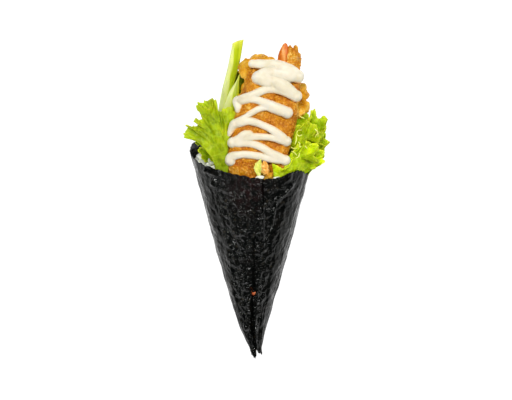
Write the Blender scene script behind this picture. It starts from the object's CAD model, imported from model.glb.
import bmesh
import bpy
import numpy as np
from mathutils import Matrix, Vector


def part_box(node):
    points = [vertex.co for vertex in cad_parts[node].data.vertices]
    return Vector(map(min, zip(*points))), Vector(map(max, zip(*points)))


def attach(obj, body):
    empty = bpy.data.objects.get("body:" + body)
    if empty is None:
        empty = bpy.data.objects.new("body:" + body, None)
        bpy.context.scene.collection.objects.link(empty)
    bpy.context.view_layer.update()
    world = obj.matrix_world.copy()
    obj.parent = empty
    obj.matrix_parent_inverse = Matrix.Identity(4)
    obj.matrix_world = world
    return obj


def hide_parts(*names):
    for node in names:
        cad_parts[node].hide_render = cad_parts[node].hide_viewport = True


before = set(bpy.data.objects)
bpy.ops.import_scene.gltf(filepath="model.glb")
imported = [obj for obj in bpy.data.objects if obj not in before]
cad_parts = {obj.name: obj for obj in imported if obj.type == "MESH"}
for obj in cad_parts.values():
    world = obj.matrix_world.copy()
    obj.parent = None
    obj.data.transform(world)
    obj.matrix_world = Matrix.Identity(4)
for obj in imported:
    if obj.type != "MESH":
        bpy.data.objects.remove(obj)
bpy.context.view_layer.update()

tau = 2 * np.pi

# Shapes are worked out in mm in the roll's own frame: its tip is at y = 0 and the table at z = 0.
noriLow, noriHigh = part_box("nori_wrap")
coneSide = 36.9  # from x = 0 to the wrap's left side
rollShift = np.array([noriLow.x * 1000 + coneSide, noriLow.y * 1000, 0.0])


def mix(low, high, t):
    return low + (high - low) * t


def ease(value, low, high):
    # Smooth step from 0 at low to 1 at high.
    t = np.clip((value - low) / (high - low), 0, 1)
    return t * t * (3 - 2 * t)


def spline(knots, shares):
    # Catmull-Rom curve through evenly spaced knots, numbers or points, at shares from 0 to 1.
    knots = np.asarray(knots, float)
    ends = np.concatenate([[2 * knots[0] - knots[1]], knots, [2 * knots[-1] - knots[-2]]])
    place = np.clip(shares, 0, 1) * (len(knots) - 1)
    step = np.minimum(place.astype(int), len(knots) - 2)
    t = place - step
    t = t[..., None] if knots.ndim == 2 else t
    a, b, c, d = (ends[step + k] for k in range(4))
    return 0.5 * (2 * b + (c - a) * t + (2 * a - 5 * b + 4 * c - d) * t ** 2 + (3 * b - a - 3 * c + d) * t ** 3)


def latticeNumber(cell, seed):
    # A fixed random-looking number from 0 to 1 for each whole-number corner.
    n = cell[..., 0] * 374761393 + cell[..., 1] * 668265263 + cell[..., 2] * 1440662683 + seed * 97531
    for factor in (1274126177, 668265263):
        n = (n ^ (n >> 13)) & 0x7FFFFFFF
        n = (n * factor) & 0x7FFFFFFF
    return (n ^ (n >> 15)) / 0x7FFFFFFF


def noise(points, size, seed=0):
    # Gradient noise from about -1 to 1: a random slope at each lattice corner, blended between the corners.
    place = points / size + seed * 3.17
    cell = np.floor(place).astype(np.int64)
    part = place - cell
    blend = part ** 3 * (part * (part * 6 - 15) + 10)
    total = np.zeros(points.shape[:-1])
    for corner in np.ndindex(2, 2, 2):
        corner = np.array(corner)
        slope = np.stack([latticeNumber(cell + corner, seed + k) for k in (1, 2, 3)], -1) * 2 - 1
        total += np.prod(np.where(corner, blend, 1 - blend), -1) * ((part - corner) * slope).sum(-1)
    return total * 1.9


def fractal(points, size, octaves, seed=0, fade=0.5):
    # Noise with finer noise added, each layer half the size of the last.
    return sum(noise(points, size / 2 ** k, seed + 7 * k) * fade ** k for k in range(octaves))


def cells(points, size, seed=0):
    # Distance to the nearest of one random point per lattice cube, in cube widths, and that point's own number.
    place = points / size
    cell = np.floor(place).astype(np.int64)
    nearest = np.full(points.shape[:-1], 9.0)
    own = np.zeros(points.shape[:-1])
    for step in np.ndindex(3, 3, 3):
        corner = cell + np.array(step) - 1
        centre = corner + np.stack([latticeNumber(corner, seed + k) for k in (4, 5, 6)], -1)
        gap = np.linalg.norm(place - centre, axis=-1)
        own = np.where(gap < nearest, latticeNumber(corner, seed + 7), own)
        nearest = np.minimum(nearest, gap)
    return nearest, own


def line(values):
    # The same number as a point on a line, to read noise along one direction.
    return np.stack([values, 0 * values + 0.37, 0 * values + 0.71], -1)


def gridFaces(rows, columns, around=False):
    # Quads between the points of a grid; around joins the last column to the first.
    row = np.arange(rows - 1)[:, None] * columns
    here = np.arange(columns if around else columns - 1)[None, :]
    there = (here + 1) % columns
    return np.stack([row + here, row + columns + here, row + columns + there, row + there], -1).reshape(-1, 4)


def joined(shapes):
    # Shapes are pairs of points and lists of faces. The result is one such pair.
    points, faces, count = [], [], 0
    for shapePoints, shapeFaces in shapes:
        points.append(shapePoints)
        faces += [[v + count for v in face] for face in shapeFaces]
        count += len(shapePoints)
    return np.concatenate(points), faces


def frames(path):
    # Forward, side and up unit vectors along a path that runs roughly towards +Y.
    forward = np.gradient(path, axis=0)
    forward /= np.linalg.norm(forward, axis=1, keepdims=True)
    side = np.cross(forward, [0, 0, 1.0])
    side /= np.linalg.norm(side, axis=1, keepdims=True)
    return forward, side, np.cross(side, forward)


def bar(knots, radiusAt, rings, around, bluntness=6):
    # A bar along a spline: the skin stands radiusAt(share, angle) off the path and closes on a pole at each end.
    share = 0.5 - 0.5 * np.cos(np.linspace(0, np.pi, rings + 2))
    share = mix(share, np.linspace(0, 1, rings + 2), 0.5)
    path = spline(knots, share)
    _, side, up = frames(path)
    angle = np.linspace(0, tau, around, endpoint=False)
    blunt = np.sqrt(np.maximum(0, 1 - np.abs(2 * share - 1) ** bluntness))
    radius = radiusAt(share[:, None], angle[None, :]) * blunt[:, None]
    skin = (path[:, None] + radius[..., None] * (np.cos(angle)[:, None] * side[:, None]
            + np.sin(angle)[:, None] * up[:, None]))[1:-1]
    points = np.concatenate([skin.reshape(-1, 3), path[:1], path[-1:]])
    last = rings * around
    faces = gridFaces(rings, around, True).tolist()
    faces += [[c, (c + 1) % around, last] for c in range(around)]
    top = (rings - 1) * around
    faces += [[top + (c + 1) % around, top + c, last + 1] for c in range(around)]
    return points, faces


def ball(centre, radius, seed=0, rough=0.3):
    # A sphere with some noise on its radius, as a grid round two poles.
    rings, around = 14, 20
    tilt, turn = np.meshgrid(np.linspace(0, np.pi, rings + 2)[1:-1], np.linspace(0, tau, around, endpoint=False),
                             indexing="ij")
    way = np.stack([np.sin(tilt) * np.cos(turn), np.sin(tilt) * np.sin(turn), np.cos(tilt)], -1).reshape(-1, 3)
    way = np.concatenate([way, [[0, 0, 1.0], [0, 0, -1.0]]])
    points = np.array(centre) + way * radius * (1 + rough * noise(way, 0.8, seed))[:, None]
    last, low = rings * around, (rings - 1) * around
    faces = gridFaces(rings, around, True).tolist()
    faces += [[(c + 1) % around, c, last] for c in range(around)]
    faces += [[low + c, low + (c + 1) % around, last + 1] for c in range(around)]
    return points, faces


def meshOf(name, points, faces):
    mesh = bpy.data.meshes.new(name)
    mesh.from_pydata(points.tolist(), [], faces if isinstance(faces, list) else faces.tolist())
    return mesh


def facingOut(mesh):
    # Turns every face outwards.
    work = bmesh.new()
    work.from_mesh(mesh)
    bmesh.ops.recalc_face_normals(work, faces=work.faces)
    work.to_mesh(mesh)
    work.free()


def coordinates(mesh):
    points = np.empty(len(mesh.vertices) * 3)
    mesh.vertices.foreach_get("co", points)
    return points.reshape(-1, 3)


def fused(shapes, voxel, smoothing):
    # Several closed shapes as one skin, from a voxel remesh, with its joints smoothed. Returns points, normals, faces.
    mesh = meshOf("fusing", *joined(shapes))
    facingOut(mesh)
    piece = bpy.data.objects.new("fusing", mesh)
    bpy.context.scene.collection.objects.link(piece)
    remesh = piece.modifiers.new("Remesh", "REMESH")
    remesh.mode = "VOXEL"
    remesh.voxel_size = voxel
    if smoothing:
        smooth = piece.modifiers.new("Smooth", "SMOOTH")
        smooth.factor = 0.5
        smooth.iterations = smoothing
    skin = bpy.data.meshes.new_from_object(piece.evaluated_get(bpy.context.evaluated_depsgraph_get()))
    points = coordinates(skin)
    normals = np.empty(len(points) * 3)
    skin.vertices.foreach_get("normal", normals)
    faces = [list(face.vertices) for face in skin.polygons]
    bpy.data.objects.remove(piece)
    return points, normals.reshape(-1, 3), faces


def addPiece(name, points, faces, material, replaces=(), attributes=None, uv=None, outward=True):
    # Puts a shape into the scene in metres, in the frame's own coordinates, riding on the one body.
    mesh = meshOf(name, (points + rollShift) / 1000, faces)
    for key, values in (attributes or {}).items():
        mesh.attributes.new(key, "FLOAT", "POINT").data.foreach_set("value", values.ravel().astype(np.float32))
    if uv is not None:
        corners = np.empty(len(mesh.loops), int)
        mesh.loops.foreach_get("vertex_index", corners)
        mesh.uv_layers.new(name="leafMap").data.foreach_set("uv", uv[corners].astype(np.float32).ravel())
    if outward:
        facingOut(mesh)
    mesh.polygons.foreach_set("use_smooth", np.ones(len(mesh.polygons), bool))
    mesh.materials.append(material)
    piece = bpy.data.objects.new(name, mesh)
    bpy.context.scene.collection.objects.link(piece)
    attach(piece, "root")
    if replaces:
        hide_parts(*replaces)
    print(name, len(mesh.vertices), "points,", (points + rollShift).min(0).round(1), "to", (points + rollShift).max(0).round(1))
    return piece


def colour(red, green, blue):
    # A screen colour, 0 to 255, as Blender's linear colour.
    screen = np.array([red, green, blue]) / 255
    linear = np.where(screen <= 0.04045, screen / 12.92, ((screen + 0.055) / 1.055) ** 2.4)
    return (*linear, 1.0)


def newMaterial(name, **settings):
    # A material with one Principled shader, whose plain values are set on its own sockets.
    material = bpy.data.materials.new(name)
    material.use_nodes = True
    shader = material.node_tree.nodes["Principled BSDF"]
    for key, value in settings.items():
        shader.inputs[key.replace("_", " ")].default_value = value
    return material, material.node_tree, shader


def addNode(tree, kind, inputs=None, **settings):
    # A node with its settings, and with each input either linked or given a value.
    node = tree.nodes.new(kind)
    for key, value in settings.items():
        setattr(node, key, value)
    for key, value in (inputs or {}).items():
        if isinstance(value, bpy.types.NodeSocket):
            tree.links.new(value, node.inputs[key])
        else:
            node.inputs[key].default_value = value
    return node


def ramp(tree, factor, stops):
    node = addNode(tree, "ShaderNodeValToRGB", {"Fac": factor})
    marks = node.color_ramp.elements
    while len(marks) < len(stops):
        marks.new(1.0)
    for mark, (place, shade) in zip(marks, stops):
        mark.position = place
        mark.color = shade
    return node.outputs["Color"]


def objectNoise(tree, scale, detail=3.0, roughness=0.55, stretch=None, distortion=0.0):
    # Noise on Object coordinates, features per metre, stretched along an axis where asked.
    place = addNode(tree, "ShaderNodeTexCoord").outputs["Object"]
    if stretch:
        place = addNode(tree, "ShaderNodeMapping", {"Vector": place, "Scale": stretch}).outputs["Vector"]
    return addNode(tree, "ShaderNodeTexNoise", {"Vector": place, "Scale": scale, "Detail": detail,
                   "Roughness": roughness, "Distortion": distortion}).outputs["Fac"]


def arithmetic(tree, operation, first, second=0.0, third=0.0):
    return addNode(tree, "ShaderNodeMath", {0: first, 1: second, 2: third}, operation=operation).outputs[0]


def blendColours(tree, factor, first, second, kind="MIX"):
    node = addNode(tree, "ShaderNodeMix", data_type="RGBA", blend_type=kind)
    for socket, value in zip([node.inputs[0], node.inputs[6], node.inputs[7]], [factor, first, second]):
        if isinstance(value, bpy.types.NodeSocket):
            tree.links.new(value, socket)
        else:
            socket.default_value = value
    return node.outputs[2]


def bump(tree, shader, heights, distance, strength=1.0):
    # Bump from one height or from several, each (height, share), added up.
    total = None
    for height, share in heights:
        part = arithmetic(tree, "MULTIPLY", height, share)
        total = part if total is None else arithmetic(tree, "ADD", total, part)
    node = addNode(tree, "ShaderNodeBump", {"Height": total, "Distance": distance, "Strength": strength})
    tree.links.new(node.outputs["Normal"], shader.inputs["Normal"])


# The cone: half width at a place along it, and points round it. Angle 0 is +X and a quarter turn is up.
cone = {"halfWidth": 32.65, "length": 107, "bluntness": 3, "taper": 0.88, "squash": 0.95, "flat": 1.2,
        "mouth": 111.4, "slantAcross": 4.5, "slantUp": 9}


def halfWidthAt(y):
    return cone["halfWidth"] * ((np.maximum(y, 0) + cone["bluntness"])
                                / (cone["length"] + cone["bluntness"])) ** cone["taper"]


def middleAt(y):
    half = halfWidthAt(y)
    return mix(1.3, -1.7, ease(y, -6, 22)), half * cone["squash"] - cone["flat"] * half / cone["halfWidth"]


def conePoint(angle, y, inset, floor):
    # An ellipse round the cone's middle line, drawn in by inset, flattened where it would go below floor.
    half = halfWidthAt(y)
    x, z = middleAt(y)
    return np.stack([x + (half - inset) * np.cos(angle), y + 0 * angle,
                     np.maximum(z + (half * cone["squash"] - inset) * np.sin(angle), floor)], -1)


def angleFrom(angle, centre):
    return np.arctan2(np.sin(angle - np.radians(centre)), np.cos(angle - np.radians(centre)))


def mouthAt(angle):
    # A slanted plane, with the sheet's corner standing up on the upper right and its far side on the lower left.
    return (cone["mouth"] - cone["slantAcross"] * np.cos(angle) - cone["slantUp"] * np.sin(angle)
            + 4 * np.exp(-((angleFrom(angle, 40) / 0.31) ** 2)) + 3.5 * np.exp(-((angleFrom(angle, 212) / 0.42) ** 2)))


sheet = {"turns": 1.35, "edge": np.radians(77.5), "layer": 0.8, "thickness": 0.4, "columns": 310, "rows": 150,
         "folds": 0.4, "crumple": 0.5, "creases": 0.6, "crinkle": 1.0, "tear": 0.55,
         # angle in degrees, place along, height and size of each lump near the tip
         "knuckles": [(122, 18, 1.0, 1.5), (108, 23, 0.7, 1.2), (52, 21, 0.8, 1.4), (128, 31, 0.6, 1.5), (108, 39, 0.7, 1.6),
                      (48, 11, 0.7, 1.3), (130, 11, 0.5, 1.2), (60, 31, 0.5, 1.4)],
         # ends in x and y, height and width of each sharp pleat on top
         "pleats": [(9.4, 95.5, 15.5, 96.6, 1.0, 0.6), (5.6, 87.1, 14, 91, 1.5, 0.7), (14, 91, 20.5, 97.5, 1.0, 0.7),
                    (6.1, 84.3, 10.5, 83.8, 1.0, 0.5), (-27.2, 106, -16.7, 101.8, 1.2, 0.8),
                    (-23.3, 98.8, -10.5, 91.6, 1.1, 0.8), (-20, 95, -14, 100.5, 0.9, 0.6), (-9.7, 102, -10.2, 93, 0.9, 0.5),
                    (3.6, 100, 4.4, 62, 0.9, 0.8), (12, 90, 9, 76, 0.8, 0.8)]}


def gapFrom(points, ends):
    # Distance in plan from each point to a straight line's nearest place.
    start, way = np.array(ends[:2]), np.array(ends[2:]) - np.array(ends[:2])
    share = np.clip(((points - start) * way).sum(-1) / (way ** 2).sum(), 0, 1)
    return np.linalg.norm(points - start - share[..., None] * way, axis=-1)


def foldHeight(angle, y):
    # Long folds that run to the tip and broad crumpling. On top of the cone also thin sharp creases, and a crinkle of
    # small lumps that gets coarser towards the tip.
    around = np.stack([24 * np.cos(angle), 24 * np.sin(angle), 0.16 * y], -1)
    surface = conePoint(angle, y, 0, 0)
    folds = noise(around, 5.5, 1) + 0.5 * noise(around, 2.6, 2)
    crumple = noise(surface, 9, 4) + 0.4 * noise(surface, 4.5, 5)
    crease = (1 - np.abs(noise(surface * [0.8, 1, 1], 12, 9))) ** 14 + 0.7 * (1 - np.abs(noise(surface, 7, 12))) ** 12
    bent = surface + noise(surface, 3, 14)[..., None]
    crinkle = np.exp(-(cells(bent, 3.4, 3)[0] / 0.45) ** 2) + 0.45 * np.exp(-(cells(surface, 1.8, 4)[0] / 0.45) ** 2)
    top = np.exp(-(angleFrom(angle, 98) / 0.72) ** 2)
    low = 1 - ease(y, 35, 75)
    scale = 0.6 + 0.4 * ease(halfWidthAt(y), 2, 14)
    knuckles = sum(height * np.exp(-(((np.abs(angleFrom(angle, turn)) * halfWidthAt(y)) / size) ** 2 + ((y - place) / size) ** 2))
                   for turn, place, height, size in sheet["knuckles"])
    pleats = sum(height * np.exp(-(gapFrom(surface[..., :2], ends) / width) ** 2)
                 for *ends, height, width in sheet["pleats"]) * ease(np.sin(angle), 0.1, 0.4)
    return knuckles + pleats + scale * (sheet["folds"] * folds + sheet["crumple"] * crumple * mix(0.75, 1, top)
                    + sheet["creases"] * (crease - 0.3) * top + sheet["crinkle"] * (crinkle - 0.5) * top * (0.6 + 0.8 * low))


def tipLine(angle):
    # Two torn lobes with a notch between them, the left one longer.
    lobes = [(108, 0.6, -3.5), (202, 0.6, 3.0), (78, 0.16, 3.4), (12, 0.4, -1.6), (-32, 0.5, 4.5)]
    return 3.6 + sum(rise * np.exp(-((angleFrom(angle, turn) / width) ** 2)) for turn, width, rise in lobes)


def noriFace(turned, share, depth):
    # The sheet after so many turns from its outer edge, from tip to rim; depth 0 is its outer face, 1 its inner. Its
    # outer edge stands proud, the layer under it dips, and the left side has a shoulder.
    turned, share = np.broadcast_arrays(turned, share)
    wander = 0.035 * noise(line(share * 13), 1, 21) + 0.02 * noise(line(share * 37), 1, 22)
    angle = sheet["edge"] - tau * turned + wander * (np.exp(-turned / 0.06) + np.exp(-((turned - 1) / 0.05) ** 2))
    rimLine = line(angle * 28)
    tear = sheet["tear"] * noise(rimLine, 2.6, 5) + 0.35 * noise(rimLine, 0.9, 6)
    rim = mouthAt(angle) + tear - 3 * ease(turned, 1, sheet["turns"])
    tip = tipLine(angle) + 0.7 * noise(rimLine, 5, 8) + 0.4 * noise(rimLine, 1.6, 7)
    y = mix(tip, rim, share)
    half = halfWidthAt(y)
    thin = np.minimum(1, half / 4)
    low = 1 - ease(y, 20, 95)
    lift = (0.3 + 0.5 * low) * np.exp(-turned / 0.02) + (0.3 + 1.3 * low) * np.exp(-turned / 0.09) * np.minimum(1, half / 9)
    dip = (0.3 + 2.2 * low) * np.exp(-((turned - 0.985) / (0.02 + 0.012 * (1 - ease(y, 5, 50)))) ** 2)
    shoulder = 0.045 * half * np.exp(-((angleFrom(angle, 140) / 0.4) ** 2))
    flare = np.maximum(0, 3.6 - half)
    inset = (sheet["layer"] * turned + sheet["thickness"] * depth - lift + dip * np.minimum(1, half / 9)) * thin
    inset = inset - foldHeight(angle, y) * np.minimum(1, half / 4) - flare - shoulder
    return conePoint(angle, y, inset, sheet["thickness"] * depth * thin)


def makeNori():
    # Outer and inner faces of the rolled sheet on one grid, joined by strips along their four edges. Also where it is
    # damp over the prawns, and which part is the cone's top.
    columns, rows = sheet["columns"], sheet["rows"]
    turned = np.interp(np.linspace(0, 1, columns), [0, 0.34, 0.48, 0.94, 1], [0, 0.25, 0.66, 1.03, sheet["turns"]])[None, :]
    share = np.linspace(0, 1, rows)[:, None] ** 0.95
    outer, inner = (noriFace(turned, share, depth).reshape(-1, 3) for depth in (0, 1))
    count = rows * columns
    index = np.arange(count).reshape(rows, columns)
    edge = np.concatenate([index[0, :-1], index[:-1, -1], index[-1, :0:-1], index[:0:-1, 0]])
    after = np.roll(edge, -1)
    skin = gridFaces(rows, columns)
    faces = np.concatenate([skin, skin[:, ::-1] + count, np.stack([edge, after, after + count, edge + count], -1)])
    angle = sheet["edge"] - tau * turned + 0 * share
    damp = np.exp(-((angleFrom(angle, 97) / 0.26) ** 2)) * ease(share, 0.72, 0.97)
    top = np.exp(-((angleFrom(angle, 96) / 0.62) ** 4))
    return np.concatenate([outer, inner]), faces, {"damp": np.tile(damp.ravel(), 2), "top": np.tile(top.ravel(), 2)}


def noriMaterial():
    material, tree, shader = newMaterial("nori", Roughness=0.2, IOR=1.22, Specular_Tint=(0.97, 1.0, 0.93, 1))
    blotches = objectNoise(tree, 190, 4)
    fibres = objectNoise(tree, 1100, 3, 0.6, (1, 0.4, 1))
    flecks = ramp(tree, objectNoise(tree, 420, 2), [(0.63, colour(0, 0, 0)), (0.75, colour(255, 255, 255))])
    base = ramp(tree, blotches, [(0.3, colour(3, 4, 4)), (0.55, colour(8, 9, 8)), (0.75, colour(16, 13, 11))])
    base = blendColours(tree, arithmetic(tree, "MULTIPLY", flecks, 0.4), base, colour(58, 50, 30))
    damp = addNode(tree, "ShaderNodeAttribute", attribute_name="damp").outputs["Fac"]
    redness = ramp(tree, objectNoise(tree, 260, 3), [(0.42, colour(0, 0, 0)), (0.62, colour(255, 255, 255))])
    base = blendColours(tree, arithmetic(tree, "MULTIPLY", damp, redness), base, colour(36, 18, 18))
    tree.links.new(base, shader.inputs["Base Color"])
    rough = addNode(tree, "ShaderNodeMapRange", {"Value": objectNoise(tree, 420, 3), "From Min": 0.38, "From Max": 0.6,
                    "To Min": 0.04, "To Max": 0.3})
    tree.links.new(rough.outputs["Result"], shader.inputs["Roughness"])
    place = addNode(tree, "ShaderNodeTexCoord").outputs["Object"]
    waver = addNode(tree, "ShaderNodeTexNoise", {"Vector": place, "Scale": 300.0, "Detail": 2.0}).outputs["Color"]
    bent = blendColours(tree, 0.0035, place, waver, "ADD")
    lumps = addNode(tree, "ShaderNodeTexVoronoi", {"Vector": bent, "Scale": 400.0, "Smoothness": 0.4},
                    feature="SMOOTH_F1").outputs["Distance"]
    broad = objectNoise(tree, 250, 1, 0.4, (1, 0.75, 1), 0.6)
    top = addNode(tree, "ShaderNodeAttribute", attribute_name="top").outputs["Fac"]
    glints = ramp(tree, objectNoise(tree, 520, 2), [(0.46, colour(0, 0, 0)), (0.6, colour(255, 255, 255))])
    glints = arithmetic(tree, "MULTIPLY", glints, 0.6)
    tree.links.new(arithmetic(tree, "MULTIPLY", top, glints), shader.inputs["Coat Weight"])
    shader.inputs["Coat Roughness"].default_value = 0.05
    bump(tree, shader, [(lumps, 0.5), (broad, 1.7), (fibres, 0.05)], 0.001, arithmetic(tree, "ADD", 0.45, arithmetic(tree, "MULTIPLY", top, 0.55)))
    tree.links.new(shader.inputs["Normal"].links[0].from_socket, shader.inputs["Coat Normal"])
    return material


noriPoints, noriFaces, noriPlaces = makeNori()
addPiece("nori_sheet", noriPoints, noriFaces, noriMaterial(), ["nori_wrap"], noriPlaces)

# Rice: separate grains on a smaller core.
rice = {"grains": 620, "length": (5.0, 6.6), "width": (2.4, 2.9), "coreInset": 2.2, "seed": 5}


def riceTop(angle, reach):
    # The mouth's slanted plane, set back behind the rim and further in on the lower right, with low bumps.
    recess = 0.8 + 3.6 * ease(np.cos(angle), 0, 0.8) + 4 * np.exp(-((angleFrom(angle, 85) / 0.75) ** 2))
    bumps = 0.7 * np.sin(3 * angle + 1) * np.sin(5 * reach) + 0.5 * np.cos(7 * angle) * reach
    return (cone["mouth"] - 2.5 * (1 - reach) + bumps * (1 - reach ** 8)
            - reach * (cone["slantAcross"] * np.cos(angle) + cone["slantUp"] * np.sin(angle) + recess))


def ricePoint(angle, reach, depth, wallGap):
    y = riceTop(angle, reach) - depth
    x, z = middleAt(y)
    wall = conePoint(angle, y, wallGap, 1.4)
    middle = np.stack([x + 0 * wall[..., 0], y, z + 0 * wall[..., 0]], -1)
    return mix(middle, wall, reach[..., None])


def makeRiceCore():
    # A plug whose wall rows follow the cone's inside and whose last rows cross the mouth to its middle.
    around, wallRows, topRows = 72, 20, 12
    angle = np.linspace(0, tau, around, endpoint=False)
    share = np.linspace(0, 1, wallRows)[:, None]
    top = riceTop(angle, np.ones(around)) - rice["coreInset"]
    y = mix(45, top[None, :], share)
    wall = conePoint(angle[None, :] + 0 * y, y, 3.2, 2.0)
    reach = np.linspace(1, 0, topRows + 1)[1:-1, None] * np.ones((1, around))
    mouth = ricePoint(angle[None, :] + 0 * reach, reach, rice["coreInset"], 2.6)
    rows = np.concatenate([wall, mouth])
    rows = rows + 0.35 * noise(rows, 2.4, 3)[..., None] * [0, 1, 0]
    ends = np.array([[rows[0, :, 0].mean(), 44.5, rows[0, :, 2].mean()],
                     ricePoint(np.zeros(1), np.zeros(1), rice["coreInset"], 2.6)[0]])
    count = rows.shape[0]
    faces = gridFaces(count, around, True).tolist()
    faces += [[c, (c + 1) % around, count * around] for c in range(around)]
    top = (count - 1) * around
    faces += [[top + (c + 1) % around, top + c, count * around + 1] for c in range(around)]
    return np.concatenate([rows.reshape(-1, 3), ends]), faces


def grainShapes(centres, ways, lengths, widths, twists):
    # Every grain at once: rings of an ellipsoid, fuller towards one end, along its own direction.
    rings, around = 5, 8
    tilt = np.linspace(0, np.pi, rings + 2)[1:-1]
    turn = np.linspace(0, tau, around, endpoint=False)
    across = np.sin(tilt)[:, None] * (1 + 0.12 * np.cos(tilt))[:, None]
    unit = np.stack([across * np.cos(turn), across * np.sin(turn) * 0.86,
                     np.cos(tilt)[:, None] + 0 * turn], -1).reshape(-1, 3)
    unit = np.concatenate([unit, [[0, 0, 1.0], [0, 0, -1.0]]])
    ways = ways / np.linalg.norm(ways, axis=1, keepdims=True)
    side = np.cross(ways, twists)
    side /= np.linalg.norm(side, axis=1, keepdims=True)
    other = np.cross(ways, side)
    points = (centres[:, None] + unit[None, :, :1] * side[:, None] * widths[:, None, None] / 2
              + unit[None, :, 1:2] * other[:, None] * widths[:, None, None] / 2
              + unit[None, :, 2:] * ways[:, None] * lengths[:, None, None] / 2)
    last, low = rings * around, (rings - 1) * around
    faces = gridFaces(rings, around, True).tolist()
    faces += [[(c + 1) % around, c, last] for c in range(around)]
    faces += [[low + c, low + (c + 1) % around, last + 1] for c in range(around)]
    size = len(unit)
    allFaces = [[v + k * size for v in face] for k in range(len(centres)) for face in faces]
    return points.reshape(-1, 3), allFaces, size


def makeGrains():
    # Grains scattered over the mouth, lying mostly flat on it, and a few pushed over the rim.
    draw = np.random.default_rng(rice["seed"])
    count = rice["grains"]
    angle = draw.uniform(0, tau, count)
    reach = np.sqrt(draw.uniform(0, 1, count)) * 0.92
    centres = ricePoint(angle, reach, draw.uniform(0.5, 2.4, count), 2.7)
    ways = draw.normal(size=(count, 3)) * [1, 0.35, 1]
    rimGrains = np.array([[2.6, 102.3, 53.4], [12.2, 101.7, 51.6]])
    rimWays = np.array([[1, 0.1, 0], [1, 0.05, -0.4]])
    centres = np.concatenate([centres, rimGrains])
    ways = np.concatenate([ways, rimWays])
    count = len(centres)
    points, faces, size = grainShapes(centres, ways, draw.uniform(*rice["length"], count),
                                      draw.uniform(*rice["width"], count), draw.normal(size=(count, 3)))
    return points, faces, np.repeat(draw.uniform(0, 1, count), size)


def riceMaterial():
    material, tree, shader = newMaterial("cookedRice", Roughness=0.42, Subsurface_Weight=0.5, Subsurface_Scale=0.0015,
                                         Subsurface_Radius=(1.0, 0.95, 0.8))
    tone = addNode(tree, "ShaderNodeAttribute", attribute_name="tone").outputs["Fac"]
    base = ramp(tree, tone, [(0, colour(219, 221, 207)), (1, colour(240, 241, 231))])
    tree.links.new(base, shader.inputs["Base Color"])
    bump(tree, shader, [(objectNoise(tree, 900, 2), 1)], 0.0002)
    return material


riceFinish = riceMaterial()
corePoints, coreFaces = makeRiceCore()
addPiece("rice_core", corePoints, coreFaces, riceFinish, ["rice"], {"tone": np.full(len(corePoints), 0.3)})
grainPoints, grainFaces, grainTones = makeGrains()
addPiece("rice_grains", grainPoints, grainFaces, riceFinish, attributes={"tone": grainTones})

# Prawns in batter. Each lump of batter on their sides is x, y, z and radius.
prawns = {
    "prawn_left": {"path": [[-6.2, 78, 30], [-5.8, 100, 41.5], [-5.2, 122, 45], [1, 148, 47], [3.6, 166, 46]],
                   "radius": 9.2, "seed": 3,
                   "fill": [[3, 98, 46], [3.4, 122, 48.3], [9, 148, 50], [11, 164, 48.5]],
                   "lumps": [[-5.6, 164.4, 46, 3.5], [-4.2, 165.8, 46.5, 3.0], [0.4, 166.8, 46.5, 3.9],
                             [4.0, 167.0, 46.5, 4.1], [8.4, 166, 46, 3.6], [-5.3, 160.8, 46.5, 3.9],
                             [-5.5, 152.8, 45.5, 3.0], [-5.0, 149.4, 45.5, 2.8], [-3.4, 156, 47, 2.6],
                             [9.5, 158, 47, 4.4], [8, 148, 47, 3.6], [-8.2, 146, 44, 2.8], [7.6, 102.9, 51.6, 3.0]]},
    "prawn_right": {"path": [[9.8, 78, 28.5], [11.3, 100, 40.5], [11.6, 122, 45], [17, 146, 47], [18.8, 163, 46]],
                    "radius": 8.3, "seed": 8,
                    "lumps": [[25.4, 151.6, 45, 3.2], [26.6, 148, 44.5, 3.4], [27, 142.6, 44.5, 3.4], [24, 138, 44.5, 3.6],
                              [21.5, 143, 48, 3.6], [19.4, 133, 45, 3.0]]},
}
crust = {"voxel": 0.3, "waves": 0.5, "grain": 0.38, "fine": 0.25, "joinSmoothing": 6}


def prawnShapes(spec):
    # A bar with a rounded square section, r / (|cos a|^3 + |sin a|^3)^(1/3), that slims towards its ends, with noisy
    # balls of batter set into its sides.
    def radiusAt(share, angle):
        slim = mix(0.8, 1, ease(share, 0, 0.25)) * mix(1, 0.92, ease(share, 0.68, 0.85))
        square = (np.abs(np.cos(angle)) ** 3 + np.abs(np.sin(angle)) ** 3) ** (-1 / 3)
        return spec["radius"] * slim * square * (1 + 0.035 * np.sin(3 * angle + spec["seed"] + 9 * share)
                                        + 0.03 * np.sin(23 * share + 2 * angle))
    shapes = [bar(spec["path"], radiusAt, 90, 48)]
    if "fill" in spec:  # batter in the furrow between the two
        shapes.append(bar(spec["fill"], lambda share, angle: 4.8 + 0 * share * angle, 60, 32))
    return shapes + [ball(lump[:3], lump[3], spec["seed"] + k) for k, lump in enumerate(spec["lumps"])]


def crusted(points, normals, spec, smooth=0.0):
    # Fried batter: waves, then round grains of crust on them where it isn't smooth, then a fine roughness. Returns
    # points and heights.
    waves = fractal(points, 5.5, 2, spec["seed"])
    gap, own = cells(points, 1.25, spec["seed"])
    grain = np.maximum(0, 1 - (gap / 0.75) ** 2) * (0.4 + own)
    fine, fineOwn = cells(points, 0.75, spec["seed"] + 20)
    fine = np.maximum(0, 1 - (fine / 0.75) ** 2) * fineOwn
    patch = ease(noise(points, 9, spec["seed"] + 2), -0.5, 0.4)
    rough = crust["grain"] * grain * mix(0.35, 1, patch) + crust["fine"] * fine * 2
    height = crust["waves"] * waves + rough * (1 - 0.9 * smooth)
    return points + normals * (height - 0.25)[:, None], height


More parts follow.
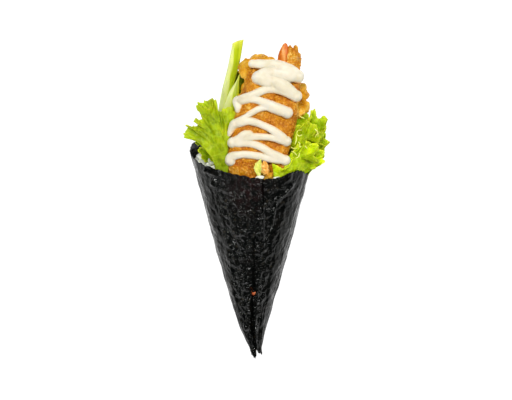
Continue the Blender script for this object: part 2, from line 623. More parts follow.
def batterMaterial():
    material, tree, shader = newMaterial("friedBatter", Roughness=0.42, IOR=1.28, Subsurface_Weight=0.15, Subsurface_Scale=0.0012,
                                         Subsurface_Radius=(1.0, 0.5, 0.1))
    height = addNode(tree, "ShaderNodeAttribute", attribute_name="height").outputs["Fac"]
    amber = addNode(tree, "ShaderNodeAttribute", attribute_name="amber").outputs["Fac"]
    mottle = objectNoise(tree, 600, 3, 0.6)
    level = arithmetic(tree, "ADD", arithmetic(tree, "MULTIPLY", height, 0.5), arithmetic(tree, "MULTIPLY", mottle, 0.55))
    base = ramp(tree, level, [(0.05, colour(146, 72, 0)), (0.3, colour(178, 108, 0)), (0.5, colour(200, 134, 12)),
                              (0.74, colour(228, 184, 92))])
    browned = ramp(tree, objectNoise(tree, 170, 2), [(0.45, colour(0, 0, 0)), (0.68, colour(255, 255, 255))])
    base = blendColours(tree, arithmetic(tree, "MULTIPLY", browned, 0.6), base, colour(160, 80, 0))
    specks = ramp(tree, objectNoise(tree, 800, 2), [(0.54, colour(0, 0, 0)), (0.7, colour(255, 255, 255))])
    base = blendColours(tree, arithmetic(tree, "MULTIPLY", specks, 0.45), base, colour(246, 190, 84))
    gold = ramp(tree, level, [(0.2, colour(206, 142, 16)), (0.42, colour(230, 180, 52)), (0.7, colour(246, 216, 120))])
    tree.links.new(blendColours(tree, arithmetic(tree, "MULTIPLY", amber, 0.9), base, gold), shader.inputs["Base Color"])
    gloss = addNode(tree, "ShaderNodeMapRange", {"Value": amber, "To Min": 0.42, "To Max": 0.22}).outputs["Result"]
    tree.links.new(gloss, shader.inputs["Roughness"])
    bump(tree, shader, [(objectNoise(tree, 1500, 3, 0.7), 1)], 0.0004)
    return material


def amberAt(points, lumps):
    # Nearness to a lump, 0 to 1: there the batter is thick and golden.
    near = np.zeros(len(points))
    for *centre, radius in lumps:
        near = np.maximum(near, 1 - ease(np.linalg.norm(points - centre, axis=1), radius * 0.8, radius * 1.6))
    return near


batterFinish = batterMaterial()
for prawnName, prawn in prawns.items():
    skinPoints, skinNormals, skinFaces = fused(prawnShapes(prawn), crust["voxel"], crust["joinSmoothing"])
    amber = amberAt(skinPoints, prawn["lumps"])
    crustPoints, crustHeight = crusted(skinPoints, skinNormals, prawn, amber)
    addPiece("battered_" + prawnName, crustPoints, skinFaces, batterFinish, [prawnName],
             {"height": crustHeight, "amber": amber})

# The tail fan that sticks out of the right prawn: a smooth lobe, and three battered ones grown together.
tailLobes = {"smooth": {"path": [[16, 155, 46], [15.4, 166, 48.5], [17, 177, 49.5]], "radius": 3.0, "flat": 0.5},
             "left": {"path": [[19, 154, 45.5], [19.2, 165, 47], [19.6, 176, 48]], "radius": 2.9, "flat": 0.8},
             "middle": {"path": [[20.8, 154, 45.5], [21.6, 165, 47], [22.4, 175.8, 47.5]], "radius": 2.9, "flat": 0.8},
             "right": {"path": [[21.6, 154, 45], [22.6, 163, 46], [24.2, 172, 46.5]], "radius": 2.8, "flat": 0.8}}


def tailLobe(lobe):
    # A flattened bar that widens, then closes to a blunt point.
    def radiusAt(share, angle):
        width = mix(0.8, 1, ease(share, 0, 0.4)) * mix(1, 0.62, ease(share, 0.65, 1))
        return lobe["radius"] * width * (1 - (1 - lobe["flat"]) * np.abs(np.sin(angle)))
    return bar(lobe["path"], radiusAt, 40, 32)


batteredLobes = [tailLobe(tailLobes[name]) for name in ("left", "middle", "right")]
crustyPoints, crustyNormals, crustyFaces = fused(batteredLobes, 0.25, 1)
crustyPoints, crustyHeight = crusted(crustyPoints, crustyNormals, {"seed": 15})
addPiece("tail_crusty", crustyPoints, crustyFaces, batterFinish,
         attributes={"height": crustyHeight + 0.15, "amber": np.full(len(crustyPoints), 0.1)})
smoothPoints, smoothFaces = tailLobe(tailLobes["smooth"])


def tailMaterial():
    material, tree, shader = newMaterial("prawnTail", Roughness=0.35, IOR=1.3, Subsurface_Weight=0.3, Subsurface_Scale=0.002,
                                         Subsurface_Radius=(1.0, 0.45, 0.2))
    streaks = objectNoise(tree, 260, 3, 0.5, (2.2, 0.35, 1))
    base = ramp(tree, streaks, [(0.3, colour(186, 84, 8)), (0.52, colour(206, 118, 36)), (0.72, colour(226, 164, 92))])
    tree.links.new(base, shader.inputs["Base Color"])
    bump(tree, shader, [(streaks, 1)], 0.0006)
    return material


tailFinish = tailMaterial()
addPiece("tail_smooth", smoothPoints, smoothFaces, tailFinish)

# Bits that peep out: bare prawn between the two prawns at the rim, and a crumb of filling in the seam.
bits = {"prawn_strip": {"path": [[5.2, 103.6, 53.4], [5.9, 106, 54.6], [5.4, 108.6, 54.5], [4.8, 111.2, 53.2]],
                        "radius": 2.1, "flat": 0.7},
        "seam_crumb": {"path": [[-1.5, 37, 21.6], [-0.6, 37.6, 22], [0.6, 37.2, 21.7]], "radius": 0.9, "flat": 0.9}}
bitShades = {"prawn_strip": [(0.3, colour(208, 132, 34)), (0.52, colour(228, 166, 68)), (0.72, colour(240, 204, 120))],
             "seam_crumb": [(0.3, colour(150, 44, 16)), (0.52, colour(208, 92, 44)), (0.72, colour(240, 150, 96))]}
for bitName, bit in bits.items():
    bitPoints, bitNormals, bitFaces = fused([tailLobe(bit)], 0.2, 2)
    bitPoints = bitPoints + bitNormals * (0.6 * fractal(bitPoints, 1.5, 2, 5))[:, None]
    bitMaterial, bitTree, bitShader = newMaterial(bitName, Roughness=0.4, Subsurface_Weight=0.2, Subsurface_Scale=0.001)
    bitTree.links.new(ramp(bitTree, objectNoise(bitTree, 700, 3), bitShades[bitName]), bitShader.inputs["Base Color"])
    addPiece(bitName, bitPoints, bitFaces, bitMaterial)

# Mayonnaise: the strokes of one zigzag, then two drips and a hump, as x, y and half width along each.
zigzag = [[(-1.2, 165.3, 2.1), (4.4, 165.1, 2.2), (11.6, 164.9, 2.3), (18.8, 161.8, 3.0), (23.4, 158.4, 3.5)],
          [(23.4, 158.4, 3.4), (16, 159.4, 3.5), (8.3, 160.6, 3.0), (2.2, 157.5, 3.8)],
          [(2.2, 157.5, 3.8), (7.2, 155.7, 3.4), (13.6, 154.2, 3.4), (22.6, 147.4, 3.1)],
          [(22.6, 147.4, 3.1), (15.5, 150.2, 2.2), (7.2, 151.3, 1.9), (-1.1, 148, 2.0), (-9.4, 144.7, 2.7)],
          [(-9.4, 144.7, 2.7), (-2.2, 145.8, 1.9), (4.4, 144.1, 2.1), (11.1, 141.1, 2.6), (17.6, 138.3, 3.1)],
          [(17.6, 138.3, 3.1), (11.1, 140.2, 2.2), (5, 141.1, 1.6), (-1.1, 138.6, 1.5), (-6.6, 134.7, 1.7), (-11, 131.9, 2.5)],
          [(-11, 131.9, 2.5), (-3.9, 133.6, 1.9), (2.8, 131.9, 1.8), (10.5, 128.1, 1.9), (17.2, 122.5, 2.7)],
          [(17.2, 122.5, 2.7), (10.5, 124.2, 1.7), (1.7, 125, 1.6), (-5, 124.2, 1.9), (-12.2, 121.7, 2.8)],
          [(-12.2, 121.7, 2.8), (-4.4, 121.4, 1.9), (2.8, 119.5, 1.8), (10, 115.3, 2.0), (16.6, 112, 2.7)],
          [(16.6, 112, 2.7), (8.3, 112.9, 1.9), (0, 114.5, 1.8), (-7.7, 115.1, 1.9), (-12.8, 113.8, 2.5), (-13.4, 111.6, 2.9)],
          [(-9.4, 144.4, 2.6), (-9.2, 141.8, 2.3), (-9.4, 139.6, 1.3)],
          [(-11.6, 131.6, 2.3), (-13.2, 128.8, 1.7), (-14.2, 126.2, 0.9)],
          [(-9.4, 123.6, 2.0), (-5.4, 126, 2.2), (-3.2, 126.6, 1.8)]]
mayo = {"voxel": 0.34, "smoothing": 16, "lift": 0.2, "swell": 0.45}


def domeHeight(x, y):
    # A flat-topped arch over the pair of prawns, with a shallow dip between them.
    share = np.clip((y - 100) / 69, 0, 1) * 0.75 + 0.25
    left, right = (spline(prawns[name]["path"], share) for name in ("prawn_left", "prawn_right"))
    radius = prawns["prawn_left"]["radius"]
    across = (x - (left[:, 0] + right[:, 0]) / 2) / ((right[:, 0] - left[:, 0]) / 2 + radius + 1.5)
    dome = np.maximum(0, 1 - np.abs(across) ** 3.5) ** (1 / 3.5)
    return (left[:, 2] + right[:, 2]) / 2 + (radius + mayo["lift"]) * dome - 1.2 * np.exp(-((across / 0.2) ** 2))


def stroke(knots):
    # A bar over the prawns through the stroke's knots.
    knots = np.array(knots)
    share = np.linspace(0, 1, 17)
    x, y, _ = spline(knots, share).T

    def radiusAt(share, angle):
        wobble = 1 + 0.04 * np.sin(9 * share + knots[0, 1]) + 0.03 * np.sin(17 * share + knots[0, 0])
        return spline(knots[:, 2], share) * wobble * (1 - 0.3 * np.sin(angle) ** 2)
    return bar(np.stack([x, y, domeHeight(x, y)], -1), radiusAt, 60, 20, 12)


def makeMayo():
    # The strokes and a ball at each of their ends, fused and smoothed into one skin. Also how thin it is, near 1 low
    # down at its edges, where the crust shows through.
    shapes = [stroke(knots) for knots in zigzag]
    for x, y, radius in [end for knots in zigzag for end in (knots[0], knots[-1])]:
        shapes.append(ball([x, y, domeHeight(np.array([x]), np.array([y]))[0] - 0.3 * radius], radius, 3, 0.05))
    points, normals, faces = fused(shapes, mayo["voxel"], mayo["smoothing"])
    points = points + normals * (mayo["swell"] + 0.1 * noise(points, 4, 2))[:, None]
    thin = 1 - ease(points[:, 2] - domeHeight(points[:, 0], points[:, 1]), -0.4, 1.5)
    return points, faces, thin


def mayoMaterial():
    material, tree, shader = newMaterial("mayonnaise", Roughness=0.36, IOR=1.36, Subsurface_Weight=0.9,
                                         Subsurface_Scale=0.003, Subsurface_Radius=(0.75, 0.85, 1.0),
                                         Specular_Tint=(1, 0.9, 0.74, 1))
    base = ramp(tree, objectNoise(tree, 120, 2), [(0.35, colour(212, 204, 180)), (0.65, colour(219, 212, 194))])
    thin = addNode(tree, "ShaderNodeAttribute", attribute_name="thin").outputs["Fac"]
    base = blendColours(tree, arithmetic(tree, "MULTIPLY", thin, 0.8), base, colour(240, 200, 132))
    tree.links.new(base, shader.inputs["Base Color"])
    bump(tree, shader, [(objectNoise(tree, 240, 2), 1)], 0.0003)
    return material


mayoPoints, mayoFaces, mayoThin = makeMayo()
addPiece("mayonnaise_zigzag", mayoPoints, mayoFaces, mayoMaterial(), ["mayonnaise"], {"thin": mayoThin})

# Lettuce. A leaf's rays leave its foot, a curve from left to right, at headings from the first to the second value in
# degrees, and end on its margin, a curve through a few points.
leaves = {
    "leaf_left": {"node": "lettuce_left", "foot": [[-20.8, 99, 47.5], [-15.2, 99, 49.5]], "leave": (100, 88), "bend": 0.7,
                  "margin": [[-25.6, 118.8, 44], [-29.4, 123.8, 44], [-34.4, 126, 45], [-38.6, 123.8, 46], [-39.9, 126, 48], [-37.9, 129, 47],
                             [-38.2, 131.4, 49], [-35.6, 130.4, 48], [-32.4, 131.2, 46], [-34, 134.8, 49],
                             [-31.8, 134, 48], [-29.6, 135.4, 46], [-30, 138.6, 47], [-32.4, 142.2, 49],
                             [-28.8, 144.4, 51], [-25.4, 145.8, 49], [-22.6, 145.8, 52], [-22, 142, 50],
                             [-19.8, 139.1, 48], [-16.2, 141, 49], [-12.8, 141.6, 51], [-11, 139, 50],
                             [-8, 136.2, 51], [-12.8, 134.4, 49], [-16.4, 129, 49], [-17.2, 121, 48]],
                  "ruffles": 7, "wave": 1.0, "overlap": 0.5, "curls": 30, "curl": 0.35, "teeth": 40, "tooth": 0.8,
                  "seed": 11, "grid": (420, 90)},
    "leaf_left_low": {"node": "lettuce_left_inner", "finish": "bright", "foot": [[-24, 104, 37], [-20.8, 104, 39]],
                      "leave": (110, 88), "bend": 0.6,
                      "margin": [[-27.4, 110.8, 43.5], [-29.6, 114.4, 45], [-31, 118, 46.5], [-28.6, 119.8, 47],
                                 [-25.6, 118.8, 46.5], [-22.4, 116, 44]],
                      "ruffles": 3, "wave": 0.4, "overlap": 0.3, "curls": 9, "curl": 0.25, "teeth": 12, "tooth": 0.4,
                      "seed": 12, "grid": (120, 50)},
    "leaf_right": {"node": "lettuce_right", "finish": "bright", "foot": [[14, 97, 35], [21, 97, 33]], "leave": (78, 35), "bend": 0.55,
                   "margin": [[19.4, 134, 41], [22.2, 139.4, 43], [26, 140.9, 42], [28.8, 138.4, 43], [30.4, 135.8, 43],
                              [31.6, 139.8, 43], [33.2, 140.2, 44], [34.4, 136.6, 43], [36, 135.4, 43], [38.2, 136.8, 44],
                              [40.6, 134.6, 43], [38.4, 132.8, 42], [39.8, 130.2, 43], [37.8, 128.8, 42],
                              [39.4, 125.4, 43], [38.4, 121, 41], [38.6, 117, 40], [36, 111, 39]],
                   "ruffles": 7, "wave": 0.7, "overlap": 0.2, "curls": 24, "curl": 0.2, "teeth": 40, "tooth": 0.5,
                   "seed": 23, "grid": (420, 80)},
    "leaf_right_middle": {"node": None, "finish": "bright", "foot": [[15, 99, 41], [20, 99, 39]], "leave": (85, 35), "bend": 0.5,
                          "margin": [[20.6, 128, 48], [22.8, 131.6, 49], [26, 131.4, 47], [28.4, 134, 49],
                                     [31.4, 132.4, 46], [34, 131.4, 49], [35.2, 128, 46], [37.6, 127.6, 48],
                                     [38.2, 124.8, 45], [41.4, 122, 47], [38.8, 120.4, 45], [38, 117, 45], [35.4, 112, 44]],
                          "ruffles": 6, "wave": 0.7, "overlap": 0.4, "curls": 26, "curl": 0.25, "teeth": 36, "tooth": 0.5,
                          "seed": 27, "grid": (360, 80)},
    "leaf_right_low": {"node": "lettuce_right_front", "finish": "light",
                       "foot": [[11.2, 99.5, 52.4], [15.6, 99.8, 50.6], [20, 100, 47], [23.6, 100.6, 42], [26.4, 101, 36.5]],
                       "leave": (100, 62), "bend": 0.5,
                       "margin": [[9.6, 110.4, 54.5], [14.6, 107.8, 53.5], [18.8, 108.6, 52], [21.2, 113, 51],
                                               [21.4, 118, 51], [24, 120.8, 52], [26.4, 119.4, 50], [28.8, 122.6, 52], [31.6, 121, 50],
                                               [34.4, 121.4, 50], [35.6, 118.6, 48], [38.6, 116.6, 48], [37.4, 113.4, 46],
                                               [38, 110.8, 46], [35, 108.6, 44], [32.4, 108.2, 43]],
                       "ruffles": 7, "wave": 0.7, "overlap": 0.4, "curls": 28, "curl": 0.25, "teeth": 44, "tooth": 0.5,
                       "seed": 31, "grid": (420, 80)},
    "leaf_scrap": {"node": None, "finish": "pale", "foot": [[1.4, 102.6, 52.8], [2.8, 102.6, 53.2]], "leave": (100, 85),
                   "bend": 0.4, "margin": [[0.8, 106, 54.6], [0.2, 108.6, 55], [1.4, 110.8, 54.8], [3.2, 112, 55.2],
                                           [3.4, 109.4, 54.8], [4, 106.6, 54.6]],
                   "ruffles": 3, "wave": 0.4, "overlap": 0.4, "curls": 9, "curl": 0.3, "teeth": 9, "tooth": 0.5,
                   "seed": 51, "grid": (90, 40)},
    "leaf_left_tip": {"node": None, "foot": [[-28.5, 120.6, 42], [-28, 123, 43]], "leave": (170, 150), "bend": 0.4,
                      "margin": [[-31.8, 120.4, 43], [-33.2, 121.6, 44], [-32.6, 123.2, 43.4], [-31, 124, 44]],
                      "ruffles": 3, "wave": 0.3, "overlap": 0.3, "curls": 8, "curl": 0.3, "teeth": 8, "tooth": 0.5,
                      "seed": 52, "grid": (80, 30)},
    "leaf_back": {"node": "lettuce_back", "finish": "deep", "foot": [[-6, 98, 24], [8, 98, 24]], "leave": (100, 80), "bend": 0.3,
                  "margin": [[-15, 128, 28], [-13.4, 140, 33], [-13, 151, 33], [-11.2, 161, 36], [-4, 161, 31], [8, 152, 34],
                             [15, 140, 30], [17, 130, 33]],
                  "ruffles": 6, "wave": 1.2, "overlap": 1, "curls": 18, "curl": 0.6, "teeth": 26, "tooth": 0.8,
                  "seed": 41, "grid": (200, 60)},
}


def leafSurface(leaf):
    # Each ray is a cubic from foot to margin, P(s) = (1 - 3s^2 + 2s^3) F + (s - 2s^2 + s^3) T + (3s^2 - 2s^3) M
    # + (s^3 - s^2) U, with T the heading it leaves in and U the one it arrives in. Ruffles move it along its normal and
    # sideways a quarter wave later, ever more towards the margin; curls do the same to the margin itself, with teeth.
    columns, rows = leaf["grid"]
    a, s = (grid[..., None] for grid in np.meshgrid(np.linspace(0, 1, columns), np.linspace(0, 1, rows)))
    seed = leaf["seed"]
    marginRow = spline(leaf["margin"], a[0, :, 0])
    arc = np.concatenate([[0], np.cumsum(np.linalg.norm(np.diff(marginRow, axis=0), axis=1))])
    arc = (arc / arc[-1])[None, :] + np.zeros((rows, 1))
    margin = marginRow[None] + 0 * s
    level = marginRow[:, 2].mean()
    margin[..., 2] = mix(level, margin[..., 2], ease(s[..., 0], 0.35, 1) ** 1.3)
    foot = spline(leaf["foot"], a[..., 0]) + 0 * s
    reach = np.linalg.norm(margin - foot, axis=-1, keepdims=True)
    heading = np.radians(mix(*leaf["leave"], a))
    leave = np.concatenate([np.cos(heading), np.sin(heading), 0.1 + 0 * heading], -1) + 0 * s
    arrive = (margin - foot) / reach - leaf["bend"] * leave
    arrive /= np.linalg.norm(arrive, axis=-1, keepdims=True)
    points = ((1 - 3 * s ** 2 + 2 * s ** 3) * foot + (s - 2 * s ** 2 + s ** 3) * leave * reach * 1.5
              + (3 * s ** 2 - 2 * s ** 3) * margin + (s ** 3 - s ** 2) * arrive * reach * 1.2)
    ahead = np.gradient(points, axis=0)
    ahead /= np.linalg.norm(ahead, axis=-1, keepdims=True)
    across = np.gradient(points, axis=1)
    across /= np.linalg.norm(across, axis=-1, keepdims=True)
    normal = np.cross(across, ahead)
    normal /= np.maximum(np.linalg.norm(normal, axis=-1, keepdims=True), 0.2)
    wander = 2.2 * noise(line(arc * 7), 1, seed) + 1.8 * noise(points, 9, seed + 7)
    ruffle = tau * leaf["ruffles"] * arc[..., None] + wander[..., None] + 0.8 * s
    curl = tau * leaf["curls"] * arc[..., None] + 2.4 * noise(line(arc * 19), 1, seed + 1)[..., None]
    main, edge = ease(s, 0.4, 1) ** 1.5, ease(s, 0.84, 1)
    uneven = 1 + 0.5 * noise(line(arc * 11), 1, seed + 2)[..., None]
    teeth = np.abs(np.sin(np.pi * leaf["teeth"] * arc + 1.5 * noise(line(arc * 9), 1, seed + 3))) ** 0.8
    ragged = 0.6 * noise(line(arc * 60), 1, seed + 4)
    dents = (noise(points, 8, seed + 5) + 0.45 * noise(points, 3.5, seed + 6))[..., None] * ease(s, 0, 0.3) * (1 - 0.5 * s)
    points = points + normal * (leaf["wave"] * uneven * main * np.cos(ruffle) + leaf["curl"] * edge * np.cos(curl) + 1.1 * dents)
    points = points - across * (leaf["overlap"] * uneven * main * np.sin(ruffle) + 0.8 * leaf["curl"] * edge * np.sin(curl))
    points = points + ahead * leaf["tooth"] * ease(s, 0.86, 1) ** 1.5 * (teeth - 0.7 + ragged)[..., None]
    return points.reshape(-1, 3), gridFaces(rows, columns), np.stack([arc, s[..., 0]], -1).reshape(-1, 2)


# Frills: trumpets of leaf that open at the margins, each from base to mouth with half width, half height and lobes.
frills = {
    "frills_left": [([-23.5, 131, 47.5], [-26.7, 142.8, 51], 4.2, 2.0, 2)],
    "frills_right": [([29, 123.6, 46], [36.4, 123.6, 49.5], 3.6, 1.8, 3), ([26, 113.2, 47], [34.2, 113.4, 49.5], 3.4, 1.8, 3)],
}


def frillSurface(base, mouth, width, height, lobes, seed):
    # A trumpet P(u, t) = base + axis t + (side width cos u + up height sin u)(0.12 + 0.88 t^1.6), with a waved, torn lip.
    base, mouth = np.array(base, float), np.array(mouth, float)
    u, t = np.meshgrid(np.linspace(0, tau, 150), np.linspace(0, 1, 40))
    axis = mouth - base
    reach = np.linalg.norm(axis)
    side = np.cross(axis, [0, 0, 1.0])
    side /= np.linalg.norm(side)
    up = np.cross(side, axis / reach)
    circle = np.stack([np.cos(u), np.sin(u), 0 * u], -1)
    edge = ease(t, 0.45, 1)
    wave = np.sin(lobes * u + 1.3 * noise(circle * 2, 1, seed) + seed)
    small = np.sin(3.3 * lobes * u + 2 * noise(circle * 3, 1, seed + 1))
    flare = (0.12 + 0.88 * t ** 1.6) * (1 + edge * (0.2 * wave + 0.04 * small) + 0.12 * noise(circle + t[..., None], 0.8, seed + 2))
    along = t + edge * t * (0.12 * np.cos(lobes * u + 2 * seed) + 0.05 * small + 0.1 * noise(circle * 6, 1, seed + 3))
    points = base + axis * along[..., None] + flare[..., None] * (
        side * (width * np.cos(u))[..., None] + up * (height * np.sin(u))[..., None])
    return points.reshape(-1, 3), gridFaces(40, 150), np.stack([u / tau, 0.5 + 0.5 * t], -1).reshape(-1, 2)


def leafMaterial(name, light):
    # Lettuce, its colours multiplied by light.
    material, tree, shader = newMaterial(name, Roughness=0.4, IOR=1.18, Subsurface_Weight=0.6, Subsurface_Scale=0.0012,
                                         Subsurface_Radius=(0.7, 1.0, 0.1))
    place = addNode(tree, "ShaderNodeUVMap", uv_map="leafMap").outputs["UV"]
    parts = addNode(tree, "ShaderNodeSeparateXYZ", {"Vector": place})
    along = parts.outputs["Y"]
    blotch = objectNoise(tree, 150, 3)
    veinPlace = addNode(tree, "ShaderNodeMapping", {"Vector": place, "Scale": (1, 0.24, 1)}).outputs["Vector"]
    veins = addNode(tree, "ShaderNodeTexVoronoi", {"Vector": veinPlace, "Scale": 22.0}, feature="DISTANCE_TO_EDGE").outputs["Distance"]
    veinLine = ramp(tree, veins, [(0.0, colour(255, 255, 255)), (0.16, colour(0, 0, 0))])
    base = ramp(tree, blotch, [(0.3, colour(114, 138, 0)), (0.5, colour(146, 164, 0)), (0.7, colour(176, 192, 8))])
    stem = addNode(tree, "ShaderNodeMapRange", {"Value": along, "From Min": 0.1, "From Max": 0.6, "To Min": 0.8, "To Max": 0.0})
    base = blendColours(tree, stem.outputs["Result"], base, colour(116, 138, 2))
    base = blendColours(tree, arithmetic(tree, "MULTIPLY", veinLine, 0.1), base, colour(200, 214, 60))
    spot = addNode(tree, "ShaderNodeTexCoord").outputs["Object"]
    net = addNode(tree, "ShaderNodeTexVoronoi", {"Vector": spot, "Scale": 230.0}, feature="DISTANCE_TO_EDGE").outputs["Distance"]
    netLine = ramp(tree, net, [(0.0, colour(255, 255, 255)), (0.14, colour(0, 0, 0))])
    base = blendColours(tree, arithmetic(tree, "MULTIPLY", netLine, 0.24), base, colour(196, 214, 62))
    rim = ramp(tree, along, [(0.93, colour(0, 0, 0)), (0.99, colour(255, 255, 255))])
    base = blendColours(tree, arithmetic(tree, "MULTIPLY", rim, 0.4), base, colour(210, 216, 56))
    base = blendColours(tree, 1.0, base, (light, light, light, 1), "MULTIPLY")
    tree.links.new(base, shader.inputs["Base Color"])
    bump(tree, shader, [(veins, 0.3), (objectNoise(tree, 300, 2), 0.9)], 0.0005)
    return material


def rimMaterial():
    material, tree, shader = newMaterial("lettuceRim", Roughness=0.4, Subsurface_Weight=0.4, Subsurface_Scale=0.001,
                                         Subsurface_Radius=(0.8, 1.0, 0.3))
    tone = ramp(tree, objectNoise(tree, 300, 2), [(0.35, colour(206, 214, 76)), (0.65, colour(230, 232, 128))])
    tree.links.new(tone, shader.inputs["Base Color"])
    return material


lettuceFinishes = {"plain": leafMaterial("lettuce", 1.0), "bright": leafMaterial("lettuceBright", 1.16),
                    "light": leafMaterial("lettuceLight", 1.5),
                    "deep": leafMaterial("lettuceDeep", 0.35), "pale": rimMaterial()}
for leafName, leaf in leaves.items():
    leafPoints, leafFaces, leafMap = leafSurface(leaf)
    piece = addPiece(leafName, leafPoints, leafFaces, lettuceFinishes[leaf.get("finish", "plain")],
                     [leaf["node"]] if leaf["node"] else (), uv=leafMap, outward=False)
    wall = piece.modifiers.new("Solidify", "SOLIDIFY")
    wall.thickness = 0.0004
    wall.offset = 0

for frillName, trumpets in frills.items():
    parts = [frillSurface(*trumpet, 60 + k) for k, trumpet in enumerate(trumpets)]
    frillPoints, frillFaces = joined([part[:2] for part in parts])
    piece = addPiece(frillName, frillPoints, frillFaces, lettuceFinishes["plain"],
                     uv=np.concatenate([part[2] for part in parts]), outward=False)
    wall = piece.modifiers.new("Solidify", "SOLIDIFY")
    wall.thickness = 0.0003
    wall.offset = 0

# Thin curls of leaf margin among the right frills, each a fine cord through a few points.
curls = [[[26, 128.6, 53.2], [23.9, 128.4, 53.4], [23.2, 126.6, 53.6], [24.4, 125.4, 53.6], [26.2, 126, 53.4]],
         [[22.8, 125.6, 52.6], [22.9, 123.2, 53], [22.2, 120.6, 52.8]],
         [[19.8, 119.2, 52.6], [21.6, 118.4, 53], [23.6, 118.6, 52.8]],
         [[24, 122.2, 53], [24.8, 121, 53.6], [24.6, 119.6, 53.4], [26, 119.4, 53]],
         [[20, 117, 52.4], [21.8, 116.2, 53], [23.2, 114.6, 52.8]],
         [[24.6, 116.2, 52.8], [24.2, 114, 53], [22.6, 113, 52.8]],
         [[25, 136.2, 50], [26.2, 135.6, 50.4], [27.6, 135.1, 50]], [[27.8, 119.9, 53], [28.8, 118.4, 53]],
         [[33.2, 129.4, 49.8], [34.6, 127.6, 50.2], [35, 125, 50]], [[34.2, 126.6, 50], [33.4, 124.4, 50]]]
curlShapes = [bar(knots, lambda share, angle: 0.27 + 0.05 * np.sin(20 * share) + 0 * angle, 40, 10) for knots in curls]
curlPoints, curlFaces = joined(curlShapes)
addPiece("lettuce_curls", curlPoints, curlFaces, lettuceFinishes["pale"])

# Cucumber sticks: middle line, half widths across and through, slant of the cut end and how far it narrows.
sticks = {
    "stick_tall": {"node": "cucumber_tall", "line": [[-17, 84, 22], [-20.5, 110, 28], [-19, 130, 33], [-15.3, 151, 38], [-11.7, 166, 41], [-9.4, 178.2, 42.5]],
                   "across": 3.05, "through": 2.6, "slant": 1.6, "point": 0.98, "from": 0.8, "seed": 2},
    "stick_short": {"node": "cucumber_short", "line": [[-16.5, 92, 33], [-18, 112, 39], [-15.6, 134, 42.5], [-12.2, 147, 43.5], [-8.8, 159.4, 44]],
                    "across": 3.3, "through": 2.1, "slant": 0.8, "point": 0.1, "from": 0.7, "seed": 5},
}


def makeStick(stick):
    # A rounded four-sided section carried along the line, narrowing at its far end, with the end cut at a slant.
    rings, around = 120, 48
    share = np.linspace(0, 1, rings)
    path = spline(stick["line"], share)
    forward, side, up = frames(path)
    angle = np.linspace(0, tau, around, endpoint=False) + 0.001
    square = 0.45
    u = np.sign(np.cos(angle)) * np.abs(np.cos(angle)) ** square
    v = np.sign(np.sin(angle)) * np.abs(np.sin(angle)) ** square
    end = ease(share, stick["from"], 1)[:, None] ** 1.3
    narrow = mix(1, stick["point"], end)
    wobble = 1 + 0.05 * noise(line(share * 6), 1, stick["seed"])[:, None]
    points = (path[:, None] + side[:, None] * (u * stick["across"] * narrow * wobble)[..., None]
              + up[:, None] * (v * stick["through"] * narrow)[..., None]
              + forward[:, None] * (stick["slant"] * end * u)[..., None])
    rings3 = points.reshape(-1, 3)
    caps = np.stack([points[0].mean(0) - 0.4 * forward[0], points[-1].mean(0) + 0.5 * forward[-1]])
    faces = gridFaces(rings, around, True).tolist()
    last, top = rings * around, (rings - 1) * around
    faces += [[c, (c + 1) % around, last] for c in range(around)]
    faces += [[top + (c + 1) % around, top + c, last + 1] for c in range(around)]
    side01 = np.concatenate([np.tile(u * 0.5 + 0.5, rings), [0.5, 0.5]])
    far = np.concatenate([np.repeat(share, around), [0, 1.02]])
    return np.concatenate([rings3, caps]), faces, side01, far


def stickMaterial():
    material, tree, shader = newMaterial("cucumber", Roughness=0.36, IOR=1.27, Subsurface_Weight=0.35, Subsurface_Scale=0.002,
                                         Subsurface_Radius=(0.8, 1.0, 0.25))
    side = addNode(tree, "ShaderNodeAttribute", attribute_name="side").outputs["Fac"]
    far = addNode(tree, "ShaderNodeAttribute", attribute_name="far").outputs["Fac"]
    streak = objectNoise(tree, 300, 3, 0.5, (1.6, 0.12, 1.6))
    level = arithmetic(tree, "ADD", side, arithmetic(tree, "MULTIPLY", arithmetic(tree, "SUBTRACT", streak, 0.5), 0.3))
    level = arithmetic(tree, "ADD", level, arithmetic(tree, "MULTIPLY", arithmetic(tree, "SUBTRACT", far, 0.82), 0.8))
    base = ramp(tree, level, [(0.06, colour(212, 220, 146)), (0.3, colour(214, 220, 124)), (0.44, colour(176, 190, 20)),
                              (0.72, colour(156, 174, 6)), (0.95, colour(186, 196, 30))])
    tip = addNode(tree, "ShaderNodeMapRange", {"Value": far, "From Min": 0.93, "From Max": 1.0, "To Min": 0.0, "To Max": 0.7})
    tree.links.new(blendColours(tree, tip.outputs["Result"], base, colour(216, 216, 80)), shader.inputs["Base Color"])
    bump(tree, shader, [(streak, 1)], 0.0004)
    return material


stickFinish = stickMaterial()
for stickName, stick in sticks.items():
    stickPoints, stickFaces, stickSide, stickFar = makeStick(stick)
    addPiece(stickName, stickPoints, stickFaces, stickFinish, [stick["node"]], {"side": stickSide, "far": stickFar})

# The table, the lights and the camera.
stageLook = {"floorWidth": 6.0, "glow": 1.0, "cameraHeight": 2.0, "focusHeight": 0.02, "frameWidth": 0.2883,
             "aim": (0.56, 89.9)}


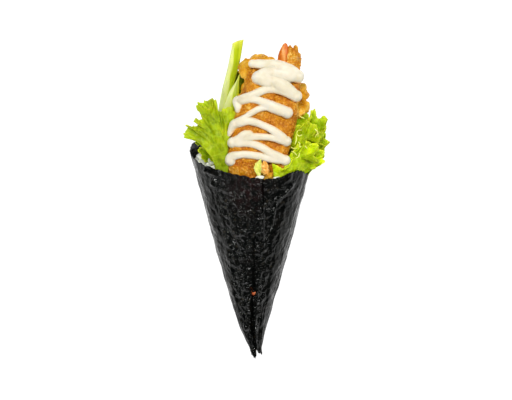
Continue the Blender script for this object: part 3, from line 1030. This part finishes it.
def addLight(name, place, target, size, power, tint=(1, 1, 1)):
    light = bpy.data.lights.new(name, "AREA")
    light.shape = "RECTANGLE"
    light.size, light.size_y = size
    light.energy = power
    light.color = tint
    lamp = bpy.data.objects.new(name, light)
    lamp.location = place
    bpy.context.scene.collection.objects.link(lamp)
    lamp.rotation_euler = (Vector(place) - Vector(target)).to_track_quat("Z", "Y").to_euler()


floorMesh = bpy.data.meshes.new("table")
floorHalf = stageLook["floorWidth"] / 2
floorMesh.from_pydata([(-floorHalf, -floorHalf, 0), (floorHalf, -floorHalf, 0), (floorHalf, floorHalf, 0), (-floorHalf, floorHalf, 0)], [], [(0, 1, 2, 3)])
floorMaterial, floorTree, floorShader = newMaterial("whiteTable", Roughness=0.8)
floorShader.inputs["Base Color"].default_value = (0.15, 0.15, 0.15, 1)
floorShader.inputs["Emission Color"].default_value = (1, 1, 1, 1)
floorShader.inputs["Emission Strength"].default_value = stageLook["glow"]
floorMesh.materials.append(floorMaterial)
floor = bpy.data.objects.new("table", floorMesh)
bpy.context.scene.collection.objects.link(floor)

addLight("keyLight", (-0.25, 0.6, 1.3), (0, 0, 0), (0.45, 0.45), 17.5)
addLight("sideLight", (0.8, 0.2, 0.9), (0, 0, 0), (0.3, 0.3), 7)
addLight("frontLight", (-0.35, -0.55, 1.1), (0, 0, 0), (0.06, 0.06), 2.0)
addLight("leftGlint", (-0.9, -0.65, 0.6), (0, 0, 0), (0.06, 0.06), 3.0)
addLight("rightGlint", (0.6, -0.8, 0.95), (0, 0, 0), (0.07, 0.07), 1.6)

world = bpy.data.worlds.new("studio")
bpy.context.scene.world = world
world.use_nodes = True
world.node_tree.nodes["Background"].inputs["Color"].default_value = (1, 1, 1, 1)
world.node_tree.nodes["Background"].inputs["Strength"].default_value = 0.03

aim = (np.array([*stageLook["aim"], 0]) + rollShift) / 1000
camera = bpy.data.objects.new("camera", bpy.data.cameras.new("camera"))
camera.data.sensor_width = 36
camera.data.lens = 36 * (stageLook["cameraHeight"] - stageLook["focusHeight"]) / stageLook["frameWidth"]
camera.location = (aim[0], aim[1], stageLook["cameraHeight"])
bpy.context.scene.collection.objects.link(camera)
bpy.context.scene.camera = camera
bpy.context.scene.view_settings.view_transform = "Standard"
